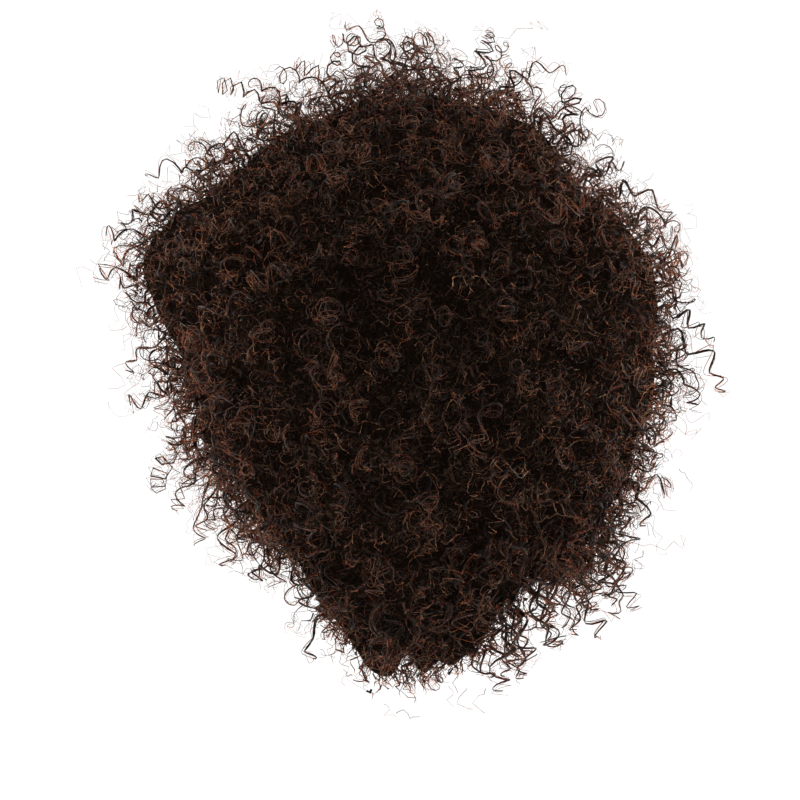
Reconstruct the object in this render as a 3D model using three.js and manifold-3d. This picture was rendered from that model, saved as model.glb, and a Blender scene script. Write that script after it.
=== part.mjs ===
// A coily real-hair wig: a hollow stretch cap, and six sections of hair rooted on it.
// Millimetres, +Z up. The origin is the top of the hollow, where the cap bears when it is worn.
// The wearer looks along -Y, so the wearer's left is +X and the back of the wig is +Y.
import * as THREE from "three";
import { mergeVertices } from "three/addons/utils/BufferGeometryUtils.js";
import Module from "manifold-3d";

const wasm = await Module();
wasm.setup();

// Driving dimensions
const HOLLOW = { halfWidth: 76, halfLength: 95, halfHeight: 95 }; // the ellipsoid inside the cap
const CAP_WALL = 1.5; // net with its sewn wefts
const ROOT_GAP = 0.35; // between the cap and the hair that stands on it
const LOCK_RISE = 15; // from the packed mass of hair up to the usual height of the curls
const RIM_SHARE = 0.78; // of the way from crown to hem, where the cap's rim lies
const COLUMN_STEP = 15; // degrees of azimuth from one column of facets to the next
const ROWS = { cap: 8, hem: 2 }; // of facets, over the cap and below its rim
const MERGE_WITHIN = 0.001; // points closer than this are one

// The cap's rim and the hair's hem, by azimuth from the front (0) to the back (180), alike on both sides.
// rimDrop: height of the rim below the crown. hang: how far hair hangs straight down inside, below the rim.
// hemPolar: degrees from straight up to where the packed hair ends outside.
const EDGE = [
  { azimuth: 0, rimDrop: 42, hang: 2, hemPolar: 70 },
  { azimuth: 45, rimDrop: 66, hang: 10, hemPolar: 94 },
  { azimuth: 75, rimDrop: 112, hang: 45, hemPolar: 130 },
  { azimuth: 90, rimDrop: 94, hang: 66, hemPolar: 138 },
  { azimuth: 120, rimDrop: 114, hang: 38, hemPolar: 138 },
  { azimuth: 135, rimDrop: 130, hang: 24, hemPolar: 136 },
  { azimuth: 150, rimDrop: 144, hang: 58, hemPolar: 153 },
  { azimuth: 180, rimDrop: 152, hang: 66, hemPolar: 157 },
];

// How far the curls usually stand from the middle of the hollow, by degrees from straight up.
const REACH = [
  { polar: 0, front: 226, left: 226, back: 226, right: 226 },
  { polar: 20, front: 212, left: 214, back: 216, right: 219 },
  { polar: 40, front: 198, left: 204, back: 205, right: 197 },
  { polar: 60, front: 184, left: 213, back: 206, right: 200 },
  { polar: 80, front: 170, left: 167, back: 194, right: 179 },
  { polar: 100, front: 152, left: 154, back: 184, right: 167 },
  { polar: 120, front: 142, left: 142, back: 178, right: 163 },
  { polar: 140, front: 138, left: 140, back: 186, right: 172 },
  { polar: 160, front: 140, left: 146, back: 202, right: 190 },
];

// The sections of hair: azimuths in degrees, and rows counted from the crown down to the hem.
const SECTIONS = [
  { name: "hair_crown", azFrom: 0, azTo: 360, rowFrom: 0, rowTo: 3 },
  { name: "hair_front", azFrom: -45, azTo: 45, rowFrom: 3, rowTo: 10 },
  { name: "hair_left", azFrom: 45, azTo: 135, rowFrom: 3, rowTo: 10 },
  { name: "hair_back", azFrom: 135, azTo: 225, rowFrom: 3, rowTo: 7 },
  { name: "hair_nape", azFrom: 135, azTo: 225, rowFrom: 7, rowTo: 10 },
  { name: "hair_right", azFrom: 225, azTo: 315, rowFrom: 3, rowTo: 10 },
];
const SECTION_GAP = { azimuth: 0.25, share: 0.0015 }; // left free at each side of a section
const FREE_HEM = 1.06; // locks at the hem may hang this share past it
const SECTION_DEPTH = 2; // locks stay in their section to this many times the packed depth

// Locks of curls, spread over the hair by the golden angle.
const LOCK = {
  count: 180,
  widestPolar: 162,
  crowding: 1.1, // power that packs them closer at the crown than at the hem
  buried: 20, // of its length, in the packed hair
  length: { least: 44, most: 63 },
  rootRadius: { least: 0.08, most: 0.115 }, // of the reach where it grows
  tipRadius: 2.5,
  taper: 1.4, // power of the share along it: 1 is a cone
  curlRadius: { least: 6, most: 12 },
  turns: { least: 0.7, most: 1.2 },
  sag: { least: 0.05, most: 0.5 }, // of the length, from the crown to the hem
  steps: 5,
  sides: 4,
};
const GOLDEN_ANGLE = 180 * (3 - Math.sqrt(5));
const SPREADS = [0.6180339887, 0.7548776662, 0.569840291, 0.8191725134]; // steps of even mixing

const hairFinish = new THREE.MeshStandardMaterial({ color: 0x24160f, roughness: 0.55, metalness: 0 });
const capFinish = new THREE.MeshStandardMaterial({ color: 0x17110e, roughness: 0.85, metalness: 0 });
const hollowMiddle = new THREE.Vector3(0, 0, -HOLLOW.halfHeight);
const down = new THREE.Vector3(0, 0, -1);
const askew = new THREE.Vector3(0.36, 0.48, 0.8); // no lock grows along it

// Reads a table between its rows with an eased step, so that its columns run smoothly.
function readTable(table, key, column, at) {
  const next = table.findIndex((row) => row[key] >= at);
  if (next === 0) return table[0][column];
  if (next < 0) return table[table.length - 1][column];
  const [low, high] = [table[next - 1], table[next]];
  const share = (at - low[key]) / (high[key] - low[key]);
  const eased = share * share * (3 - 2 * share);
  return low[column] + (high[column] - low[column]) * eased;
}

// Azimuth folded on to one side, from 0 at the front to 180 at the back.
function foldAzimuth(azimuth) {
  const turned = ((azimuth % 360) + 360) % 360;
  return turned > 180 ? 360 - turned : turned;
}

function direction(azimuth, polar) {
  const az = THREE.MathUtils.degToRad(azimuth);
  const po = THREE.MathUtils.degToRad(polar);
  return new THREE.Vector3(Math.sin(po) * Math.sin(az), -Math.sin(po) * Math.cos(az), Math.cos(po));
}

// A point on the hollow's ellipsoid, grown by an offset.
function onHollow(azimuth, polar, offset) {
  const half = new THREE.Vector3(HOLLOW.halfWidth, HOLLOW.halfLength, HOLLOW.halfHeight);
  return direction(azimuth, polar).multiply(half.addScalar(offset)).add(hollowMiddle);
}

function rimPolar(azimuth) {
  const drop = readTable(EDGE, "azimuth", "rimDrop", foldAzimuth(azimuth));
  return THREE.MathUtils.radToDeg(Math.acos(1 - drop / HOLLOW.halfHeight));
}

// Reach of the curls in any direction: the four columns blended round the wig.
function curlReach(azimuth, polar) {
  const turned = (((azimuth % 360) + 360) % 360) / 90;
  const columns = ["front", "left", "back", "right"];
  const quarter = Math.floor(turned) % 4;
  const share = (1 - Math.cos(Math.PI * (turned - quarter))) / 2;
  const near = readTable(REACH, "polar", columns[quarter], polar);
  const far = readTable(REACH, "polar", columns[(quarter + 1) % 4], polar);
  return near + (far - near) * share;
}

// Inner side of the hair: over the cap down to its rim, then straight down.
function hairInside(azimuth, share) {
  const along = Math.min(share / RIM_SHARE, 1);
  const point = onHollow(azimuth, along * rimPolar(azimuth), CAP_WALL + ROOT_GAP);
  const below = Math.max(0, (share - RIM_SHARE) / (1 - RIM_SHARE));
  return point.addScaledVector(down, below * readTable(EDGE, "azimuth", "hang", foldAzimuth(azimuth)));
}

function hemPolar(azimuth) {
  return readTable(EDGE, "azimuth", "hemPolar", foldAzimuth(azimuth));
}

// Outer side of the packed hair.
function hairOutside(azimuth, share) {
  const polar = share * hemPolar(azimuth);
  const radius = curlReach(azimuth, polar) - LOCK_RISE;
  return direction(azimuth, polar).multiplyScalar(radius).add(hollowMiddle);
}

// A closed mesh from triangles of points: shared points merged and collapsed triangles dropped.
function closedGeometry(points) {
  const flat = points.flatMap((p) => [p.x, p.y, p.z]);
  const loose = new THREE.BufferGeometry();
  loose.setAttribute("position", new THREE.Float32BufferAttribute(flat, 3));
  const merged = mergeVertices(loose, MERGE_WITHIN);
  const index = [];
  for (let i = 0; i < merged.index.count; i += 3) {
    const [a, b, c] = [0, 1, 2].map((n) => merged.index.getX(i + n));
    if (a !== b && b !== c && c !== a) index.push(a, b, c);
  }
  return merged.setIndex(index);
}

// Two triangles of a four-sided face. Both ways round it is cut along the same diagonal, from a to c.
function pushQuad(points, a, b, c, d, turned) {
  if (turned) points.push(a, c, b, a, d, c);
  else points.push(a, b, c, a, c, d);
}

// The share of the way from crown to hem at which a row lies.
function shareOfRow(row) {
  if (row <= ROWS.cap) return (RIM_SHARE * row) / ROWS.cap;
  return RIM_SHARE + ((1 - RIM_SHARE) * (row - ROWS.cap)) / ROWS.hem;
}

// Whole steps of azimuth from one angle to another.
function columnsBetween(azFrom, azTo) {
  return Array.from({ length: (azTo - azFrom) / COLUMN_STEP + 1 }, (_, i) => azFrom + i * COLUMN_STEP);
}

// A layer between two surfaces over azimuth and share, closed at its open sides.
function layerGeometry({ azimuths, shares, inside, outside }) {
  const points = [];
  const columns = azimuths.length - 1;
  const rows = shares.length - 1;
  const grid = [inside, outside].map((side) =>
    azimuths.map((azimuth) => shares.map((share) => side(azimuth, share))),
  );
  const at = (i, j, side) => grid[side][i][j];
  for (let i = 0; i < columns; i++) {
    for (let j = 0; j < rows; j++) {
      pushQuad(points, at(i, j, 1), at(i, j + 1, 1), at(i + 1, j + 1, 1), at(i + 1, j, 1), false);
      pushQuad(points, at(i, j, 0), at(i, j + 1, 0), at(i + 1, j + 1, 0), at(i + 1, j, 0), true);
    }
    const low = rows;
    pushQuad(points, at(i, low, 0), at(i + 1, low, 0), at(i + 1, low, 1), at(i, low, 1), false);
    if (shares[0] > 0) pushQuad(points, at(i, 0, 0), at(i + 1, 0, 0), at(i + 1, 0, 1), at(i, 0, 1), true);
  }
  const wholeTurn = azimuths[columns] - azimuths[0] >= 360;
  for (let j = 0; j < rows && !wholeTurn; j++) {
    const last = columns;
    pushQuad(points, at(last, j, 0), at(last, j, 1), at(last, j + 1, 1), at(last, j + 1, 0), false);
    pushQuad(points, at(0, j, 0), at(0, j, 1), at(0, j + 1, 1), at(0, j + 1, 0), true);
  }
  return closedGeometry(points);
}

// The cap: one wall from the crown to the rim, open below and at the face.
function capGeometry() {
  return layerGeometry({
    azimuths: columnsBetween(0, 360),
    shares: Array.from({ length: ROWS.cap + 1 }, (_, row) => row / ROWS.cap),
    inside: (azimuth, share) => onHollow(azimuth, share * rimPolar(azimuth), 0),
    outside: (azimuth, share) => onHollow(azimuth, share * rimPolar(azimuth), CAP_WALL),
  });
}

// The space of one section, from the cap out to a multiple of the packed depth.
function sectionGeometry(section, depth, hemShare) {
  const { azFrom, azTo, rowFrom, rowTo } = section;
  const azimuths = columnsBetween(azFrom, azTo);
  if (azTo - azFrom < 360) {
    azimuths[0] += SECTION_GAP.azimuth;
    azimuths[azimuths.length - 1] -= SECTION_GAP.azimuth;
  }
  const steps = rowTo - rowFrom;
  const shares = Array.from({ length: steps + 1 }, (_, n) => shareOfRow(rowFrom + n));
  if (rowFrom > 0) shares[0] += SECTION_GAP.share;
  shares[steps] = rowTo === ROWS.cap + ROWS.hem ? hemShare : shares[steps] - SECTION_GAP.share;
  return layerGeometry({
    azimuths,
    shares,
    inside: hairInside,
    outside: (azimuth, share) => {
      const root = hairInside(azimuth, share);
      return hairOutside(azimuth, share).sub(root).multiplyScalar(depth).add(root);
    },
  });
}

const mixed = (number, spread) => (number * SPREADS[spread]) % 1;
const between = (range, share) => range.least + (range.most - range.least) * share;

// Where lock number k grows: its azimuth and its share of the way from crown to hem.
function lockPlace(k) {
  const reachDown = 1 - Math.cos(THREE.MathUtils.degToRad(LOCK.widestPolar));
  const order = ((k + 0.5) / LOCK.count) ** LOCK.crowding;
  const polar = THREE.MathUtils.radToDeg(Math.acos(1 - order * reachDown));
  const azimuth = (k * GOLDEN_ANGLE) % 360;
  return { azimuth, share: polar / hemPolar(azimuth) };
}

function sectionOf({ azimuth, share }) {
  return SECTIONS.find((s) => {
    const turned = azimuth > s.azTo ? azimuth - 360 : azimuth;
    const inRows = share >= shareOfRow(s.rowFrom) && share < shareOfRow(s.rowTo);
    return inRows && turned >= s.azFrom && turned < s.azTo;
  });
}

// The middle line of lock k, a corkscrew that opens and sags towards its tip, and its root's radius.
function lockPath(k) {
  const { azimuth, share } = lockPlace(k);
  const surface = hairOutside(azimuth, share);
  const outward = surface.clone().sub(hairInside(azimuth, share)).normalize();
  const start = surface.clone().addScaledVector(outward, -LOCK.buried);
  const across = new THREE.Vector3().crossVectors(outward, askew).normalize();
  const aside = new THREE.Vector3().crossVectors(outward, across);
  const length = between(LOCK.length, mixed(k, 0));
  const curl = between(LOCK.curlRadius, mixed(k, 1));
  const turns = between(LOCK.turns, mixed(k, 2));
  const phase = 2 * Math.PI * mixed(k, 3);
  const sag = length * between(LOCK.sag, share);
  const path = Array.from({ length: LOCK.steps + 1 }, (_, n) => {
    const along = n / LOCK.steps;
    const angle = 2 * Math.PI * turns * along + phase;
    return start
      .clone()
      .addScaledVector(outward, length * along)
      .addScaledVector(down, sag * along * along)
      .addScaledVector(across, curl * along * Math.cos(angle))
      .addScaledVector(aside, curl * along * Math.sin(angle));
  });
  const rootRadius = between(LOCK.rootRadius, mixed(k, 2)) * surface.distanceTo(hollowMiddle);
  return { path, rootRadius };
}

// One lock: rings carried along its path, tapering to the tip and closed at both ends.
function lockGeometry(k) {
  const { path, rootRadius } = lockPath(k);
  const curve = new THREE.CatmullRomCurve3(path);
  const frames = curve.computeFrenetFrames(LOCK.steps);
  const rings = path.map((_, n) => {
    const along = n / LOCK.steps;
    const radius = LOCK.tipRadius + (rootRadius - LOCK.tipRadius) * (1 - along ** LOCK.taper);
    const middle = curve.getPointAt(along);
    return Array.from({ length: LOCK.sides }, (_, side) => {
      const angle = (2 * Math.PI * side) / LOCK.sides;
      return middle
        .clone()
        .addScaledVector(frames.normals[n], radius * Math.cos(angle))
        .addScaledVector(frames.binormals[n], radius * Math.sin(angle));
    });
  });
  const points = [];
  for (let n = 0; n < LOCK.steps; n++) {
    for (let side = 0; side < LOCK.sides; side++) {
      const other = (side + 1) % LOCK.sides;
      pushQuad(points, rings[n][side], rings[n][other], rings[n + 1][other], rings[n + 1][side], false);
    }
  }
  const [first, last] = [rings[0], rings[LOCK.steps]];
  for (let side = 1; side < LOCK.sides - 1; side++) {
    points.push(first[0], first[side + 1], first[side]);
    points.push(last[0], last[side], last[side + 1]);
  }
  return closedGeometry(points);
}

function toSolid(geometry) {
  const vertProperties = new Float32Array(geometry.attributes.position.array);
  const triVerts = new Uint32Array(geometry.index.array);
  return new wasm.Manifold(new wasm.Mesh({ numProp: 3, vertProperties, triVerts }));
}

function toGeometry(solid) {
  const { vertProperties, triVerts } = solid.getMesh();
  const geometry = new THREE.BufferGeometry();
  geometry.setAttribute("position", new THREE.BufferAttribute(new Float32Array(vertProperties), 3));
  geometry.setIndex(new THREE.BufferAttribute(new Uint32Array(triVerts), 1));
  geometry.computeVertexNormals();
  return geometry;
}

// Packed hair and its locks fused into one body, kept inside the section's own space.
function hairGeometry(section, locks) {
  const packed = toSolid(sectionGeometry(section, 1, 1));
  const space = toSolid(sectionGeometry(section, SECTION_DEPTH, FREE_HEM));
  const fused = locks.reduce((body, k) => body.add(toSolid(lockGeometry(k))), packed);
  const bodies = fused.intersect(space).decompose();
  return toGeometry(bodies.sort((a, b) => b.volume() - a.volume())[0]);
}

function addPiece(group, name, geometry, finish) {
  const mesh = new THREE.Mesh(geometry, finish);
  mesh.name = name;
  group.add(mesh);
}

const wig = new THREE.Group();
addPiece(wig, "cap", capGeometry(), capFinish);
const allLocks = Array.from({ length: LOCK.count }, (_, k) => k);
for (const section of SECTIONS) {
  const locks = allLocks.filter((k) => sectionOf(lockPlace(k)) === section);
  addPiece(wig, section.name, hairGeometry(section, locks), hairFinish);
}

export default wig;
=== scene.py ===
import math

import bpy
import numpy as np
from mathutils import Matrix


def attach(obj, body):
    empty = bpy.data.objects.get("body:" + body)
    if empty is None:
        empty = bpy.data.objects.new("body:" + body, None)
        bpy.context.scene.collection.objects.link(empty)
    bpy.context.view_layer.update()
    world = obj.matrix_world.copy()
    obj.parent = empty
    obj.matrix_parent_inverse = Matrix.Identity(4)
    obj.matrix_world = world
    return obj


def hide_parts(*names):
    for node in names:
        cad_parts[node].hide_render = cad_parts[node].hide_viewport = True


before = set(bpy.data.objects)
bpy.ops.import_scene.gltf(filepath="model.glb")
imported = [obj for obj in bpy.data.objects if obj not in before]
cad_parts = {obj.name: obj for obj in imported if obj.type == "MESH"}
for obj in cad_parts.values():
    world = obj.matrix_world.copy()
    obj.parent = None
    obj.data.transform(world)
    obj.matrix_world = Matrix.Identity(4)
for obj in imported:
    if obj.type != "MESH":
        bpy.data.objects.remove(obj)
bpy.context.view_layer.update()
print("frame loaded:", len(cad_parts), "nodes")

# Shapes are worked out in millimetres and degrees, and put into meshes in metres.
metresPerMm = 0.001
goldenAngle = 180 * (3 - math.sqrt(5))
down = np.array([0.0, 0.0, -1.0])
askew = np.array([0.36, 0.48, 0.8])  # no lock grows along it

# The hollow of the cap, the cap's rim with the hair's hem, and the reach of the curls, as in the solids.
# rootGap is the gap between cap and hair, and rimShare the share of the way to the hem where the cap ends.
hollow = {"half": np.array([76.0, 95.0, 95.0]), "capWall": 1.5, "rootGap": 0.35, "rimShare": 0.78}
hollowMiddle = hollow["half"][2] * down
# By azimuth: how far the rim is below the crown, how far hair hangs below the rim, and the hem's polar angle.
edge = {
    "azimuth": [0, 45, 75, 90, 120, 135, 150, 180],
    "rimDrop": [42, 66, 112, 94, 114, 130, 144, 152],
    "hang": [2, 10, 45, 66, 38, 24, 58, 66],
    "hemPolar": [70, 94, 130, 138, 138, 136, 153, 157],
}
# Distance of the curls' tips from the middle of the hollow, by polar angle and side.
reach = {
    "polar": [0, 20, 40, 60, 80, 100, 120, 140, 160],
    "front": [226, 212, 198, 184, 170, 152, 142, 138, 140],
    "left": [226, 214, 204, 213, 167, 154, 142, 140, 146],
    "back": [226, 216, 205, 206, 194, 184, 178, 186, 202],
    "right": [226, 219, 197, 200, 179, 167, 163, 172, 190],
}
# Sections of hair: azimuths, and shares of the way from crown to hem.
sections = [
    {"node": "hair_crown", "name": "crown", "azFrom": 0, "azTo": 360, "from": 0, "to": 0.2925},
    {"node": "hair_front", "name": "front", "azFrom": -45, "azTo": 45, "from": 0.2925, "to": 1},
    {"node": "hair_left", "name": "left", "azFrom": 45, "azTo": 135, "from": 0.2925, "to": 1},
    {"node": "hair_back", "name": "back", "azFrom": 135, "azTo": 225, "from": 0.2925, "to": 0.6825},
    {"node": "hair_nape", "name": "nape", "azFrom": 135, "azTo": 225, "from": 0.6825, "to": 1},
    {"node": "hair_right", "name": "right", "azFrom": 225, "azTo": 315, "from": 0.2925, "to": 1},
]


# A column read between its rows: eased step 3s^2 - 2s^3 from one row to the next.
def readColumn(table, key, column, at):
    keys = np.asarray(table[key], float)
    values = np.asarray(table[column], float)
    row = np.clip(np.searchsorted(keys, at) - 1, 0, len(keys) - 2)
    share = np.clip((at - keys[row]) / (keys[row + 1] - keys[row]), 0, 1)
    return values[row] + (values[row + 1] - values[row]) * share * share * (3 - 2 * share)


# Azimuth folded on to one side: 0 at the front, 180 at the back.
def foldAzimuth(azimuth):
    turned = np.mod(azimuth, 360)
    return np.where(turned > 180, 360 - turned, turned)


# Unit vector at an azimuth from the front and a polar angle from straight up.
def direction(azimuth, polar):
    az, po = np.radians(azimuth), np.radians(polar)
    return np.stack([np.sin(po) * np.sin(az), -np.sin(po) * np.cos(az), np.cos(po) + 0 * az], -1)


# Vectors divided by their lengths.
def unit(vectors):
    return vectors / np.maximum(np.linalg.norm(vectors, axis=-1, keepdims=True), 1e-9)


# The part of vectors that is square to others of length 1: v - n (v . n).
def level(vectors, normals):
    return vectors - normals * np.sum(vectors * normals, -1, keepdims=True)


# Polar angle whose height on the hollow is the rim's: the arc cosine of 1 - drop / half height.
def rimPolar(azimuth):
    drop = readColumn(edge, "azimuth", "rimDrop", foldAzimuth(azimuth))
    return np.degrees(np.arccos(1 - drop / hollow["half"][2]))


# Polar angle of the hem, read from the table of the edge.
def hemPolar(azimuth):
    return readColumn(edge, "azimuth", "hemPolar", foldAzimuth(azimuth))


# A table with a column for each side, read at any direction: columns blended round by (1 - cos) / 2.
def readSides(table, azimuth, polar):
    quarters = np.mod(azimuth, 360) / 90
    quarter = np.floor(quarters).astype(int) % 4
    share = (1 - np.cos(np.pi * (quarters - quarter))) / 2
    sides = ("front", "left", "back", "right")
    columns = np.stack([readColumn(table, "polar", side, polar) for side in sides])
    near = np.take_along_axis(columns, quarter[None], 0)[0]
    far = np.take_along_axis(columns, ((quarter + 1) % 4)[None], 0)[0]
    return near + (far - near) * share


# Inner side of the hair: the hollow's ellipsoid grown by cap and gap down to the rim, then straight down.
def hairInside(azimuth, share):
    polar = np.minimum(share / hollow["rimShare"], 1) * rimPolar(azimuth)
    grown = hollow["half"] + hollow["capWall"] + hollow["rootGap"]
    below = np.maximum(0, (share - hollow["rimShare"]) / (1 - hollow["rimShare"]))
    hang = below * readColumn(edge, "azimuth", "hang", foldAzimuth(azimuth))
    return direction(azimuth, polar) * grown + hollowMiddle + hang[..., None] * down


# Outer side of the hair: reach less an inset, along the direction at that share of the hem's polar angle.
def hairOutside(azimuth, share, inset):
    polar = share * hemPolar(azimuth)
    radius = readSides(reach, azimuth, polar) - inset
    return direction(azimuth, polar) * radius[..., None] + hollowMiddle


# Smooth noise from -1 to 1: hashed values at the corners of cubic cells, eased between them.
def cellNoise(points, cell, seed):
    scaled = points / cell
    corner = np.floor(scaled).astype(np.int64)
    share = scaled - corner
    share = share * share * (3 - 2 * share)
    total = np.zeros(points.shape[:-1])
    for step in np.ndindex(2, 2, 2):
        at = corner + np.array(step)
        mixed = at[..., 0] * 73856093 ^ at[..., 1] * 19349663 ^ at[..., 2] * 83492791 ^ seed * 2654435761
        mixed = (mixed ^ (mixed >> 13)) * 1274126177 & 0xFFFFFFFF
        value = ((mixed ^ (mixed >> 16)) & 0xFFFF) / 32767.5 - 1
        total += value * np.prod(np.where(np.array(step) == 1, share, 1 - share), axis=-1)
    return total


# A mesh object from arrays: points in millimetres, four-sided and three-sided faces, all smooth.
def makeMesh(name, points, quads, triangles, attributes=None, uv=None):
    mesh = bpy.data.meshes.new(name)
    corners = np.concatenate([quads.ravel(), triangles.ravel()]).astype(np.int32)
    sizes = np.concatenate([np.full(len(quads), 4), np.full(len(triangles), 3)])
    starts = np.concatenate([[0], np.cumsum(sizes)[:-1]]).astype(np.int32)
    mesh.vertices.add(len(points))
    mesh.vertices.foreach_set("co", (points * metresPerMm).astype(np.float32).ravel())
    mesh.loops.add(len(corners))
    mesh.loops.foreach_set("vertex_index", corners)
    mesh.polygons.add(len(sizes))
    mesh.polygons.foreach_set("loop_start", starts)
    mesh.polygons.foreach_set("use_smooth", np.ones(len(sizes), bool))
    for label, values in (attributes or {}).items():
        layer = mesh.attributes.new(label, "FLOAT", "POINT")
        layer.data.foreach_set("value", values.astype(np.float32).ravel())
    if uv is not None:
        mesh.uv_layers.new(name="OFBake").data.foreach_set("uv", uv.astype(np.float32).ravel())
    mesh.update(calc_edges=True)
    mesh.validate()
    piece = bpy.data.objects.new(name, mesh)
    bpy.context.scene.collection.objects.link(piece)
    return piece


# Faces of a closed layer: an inside and an outside grid of columns by rows, with walls at its open sides.
def layerFaces(columns, rows, wraps, poled):
    ids = np.arange(2 * columns * rows).reshape(2, columns, rows)
    if poled:
        ids[:, :, 0] = ids[:, :1, 0]
    if wraps:
        ids = np.concatenate([ids, ids[:, :1]], axis=1)
    a, b, c, d = ids[:, :-1, :-1], ids[:, :-1, 1:], ids[:, 1:, 1:], ids[:, 1:, :-1]
    top = 1 if poled else 0
    outside = np.stack([a, b, c, d], -1)[1][:, top:]
    inside = np.stack([d, c, b, a], -1)[0][:, top:]
    hem = np.stack([ids[0, :-1, -1], ids[0, 1:, -1], ids[1, 1:, -1], ids[1, :-1, -1]], -1)
    quads = [outside.reshape(-1, 4), inside.reshape(-1, 4), hem]
    triangles = np.zeros((0, 3), int)
    if poled:
        outsideFan = np.stack([a, b, c], -1)[1][:, 0]
        insideFan = np.stack([c, b, a], -1)[0][:, 0]
        triangles = np.concatenate([outsideFan, insideFan])
    else:
        quads.append(np.stack([ids[1, :-1, 0], ids[1, 1:, 0], ids[0, 1:, 0], ids[0, :-1, 0]], -1))
    if not wraps:
        quads.append(np.stack([ids[0, -1, :-1], ids[1, -1, :-1], ids[1, -1, 1:], ids[0, -1, 1:]], -1))
        quads.append(np.stack([ids[0, 0, 1:], ids[1, 0, 1:], ids[1, 0, :-1], ids[0, 0, :-1]], -1))
    return np.concatenate(quads), triangles


# A layer between two surfaces of azimuth and share, closed all round.
def makeLayer(name, azimuths, shares, inside, outside, wraps):
    azimuth, share = np.meshgrid(azimuths, shares, indexing="ij")
    points = np.stack([inside(azimuth, share), outside(azimuth, share)]).reshape(-1, 3)
    quads, triangles = layerFaces(len(azimuths), len(shares), wraps, shares[0] == 0)
    used, packed = np.unique(np.concatenate([quads.ravel(), triangles.ravel()]), return_inverse=True)
    quadCount = quads.size
    quads = packed[:quadCount].reshape(-1, 4)
    triangles = packed[quadCount:].reshape(-1, 3)
    return makeMesh(name, points[used], quads, triangles)


# One node with its settings; an input may be a value or another node's output.
def addNode(tree, kind, inputs=None, **settings):
    node = tree.nodes.new(kind)
    for label, value in settings.items():
        setattr(node, label, value)
    for label, value in (inputs or {}).items():
        if isinstance(value, bpy.types.NodeSocket):
            tree.links.new(value, node.inputs[label])
        else:
            node.inputs[label].default_value = value
    return node


# Output of an operation on two values.
def mathOf(tree, operation, first, second):
    return addNode(tree, "ShaderNodeMath", {0: first, 1: second}, operation=operation).outputs[0]


# Output of a value moved from one span to another.
def spanOf(tree, value, old, new=(0, 1), **settings):
    spans = {"Value": value, "From Min": old[0], "From Max": old[1], "To Min": new[0], "To Max": new[1]}
    return addNode(tree, "ShaderNodeMapRange", spans, **settings).outputs["Result"]


# Output of a smooth noise.
def noiseOf(tree, place, scale, detail, distortion=0):
    shape = {"Vector": place, "Scale": scale, "Detail": detail, "Distortion": distortion}
    return addNode(tree, "ShaderNodeTexNoise", shape).outputs["Fac"]


# Output of two colours mixed by a factor.
def mixOf(tree, factor, first, second):
    inputs = {"Factor": factor, 6: first, 7: second}
    return addNode(tree, "ShaderNodeMix", inputs, data_type="RGBA").outputs[2]


# The shader and the material's output, which end every material here.
def closeMaterial(tree, inputs):
    shader = addNode(tree, "ShaderNodeBsdfPrincipled", inputs)
    addNode(tree, "ShaderNodeOutputMaterial", {"Surface": shader.outputs["BSDF"]})


# sRGB hex to linear colour.
def linear(hexColour):
    channels = [int(hexColour[i : i + 2], 16) / 255 for i in (1, 3, 5)]
    return [c / 12.92 if c <= 0.04045 else ((c + 0.055) / 1.055) ** 2.4 for c in channels] + [1.0]


# An empty node material and its tree.
def newMaterial(name):
    material = bpy.data.materials.new(name)
    material.use_nodes = True
    material.node_tree.nodes.clear()
    return material, material.node_tree


# Coily human hair, dyed brown black: near black at the root, reddish brown along the strand, lighter at the
# tip. The lighter tip is painted highlight, for the tips that catch the light; the reddish middle is partly
# the hair's own colour and partly a painted glow of light through the edge of the hair. underMm is how far
# light goes under a strand's surface, which gives the edge of the hair its warm glow.
ringletLook = {
    "root": "#0b0705", "middle": "#251e1a", "tip": "#2d241e", "tone": (0.7, 1.02), "undyed": 1.0,
    "roughness": 0.5, "specular": 0.06, "underMm": 0.75,
}
# Single hairs of it are so thin that light passes them; their paler colours are painted light for that.
frizzLook = {
    "root": "#130c09", "middle": "#27201c", "tip": "#342922", "tone": (0.7, 1.06), "undyed": 2.4,
    "roughness": 0.5, "specular": 0.06, "underMm": 0.75,
}
# Painted glints, light and dark along a strand where single hairs catch the light, and larger light and
# dark places. A few hairs have lost their dye. Glints of a single hair are too fine to show, so they are drawn
# longer.
# streaks is their number across, along and between strands, span the part of a noise that goes from dark to
# light, and under how far red, green and blue light go beside each other.
hairShade = {
    "middleAt": 0.45, "glintMm": 1.6, "glint": (0.5, 1.45), "patchMm": 34, "patch": (0.8, 1.2),
    "streaks": (5, 5, 40), "streak": (0.65, 1.35), "span": (0.4, 0.62), "detail": 2.0,
    "undyedOver": 0.985, "under": (1.0, 0.38, 0.2),
}
hairIor = 1.55
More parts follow.
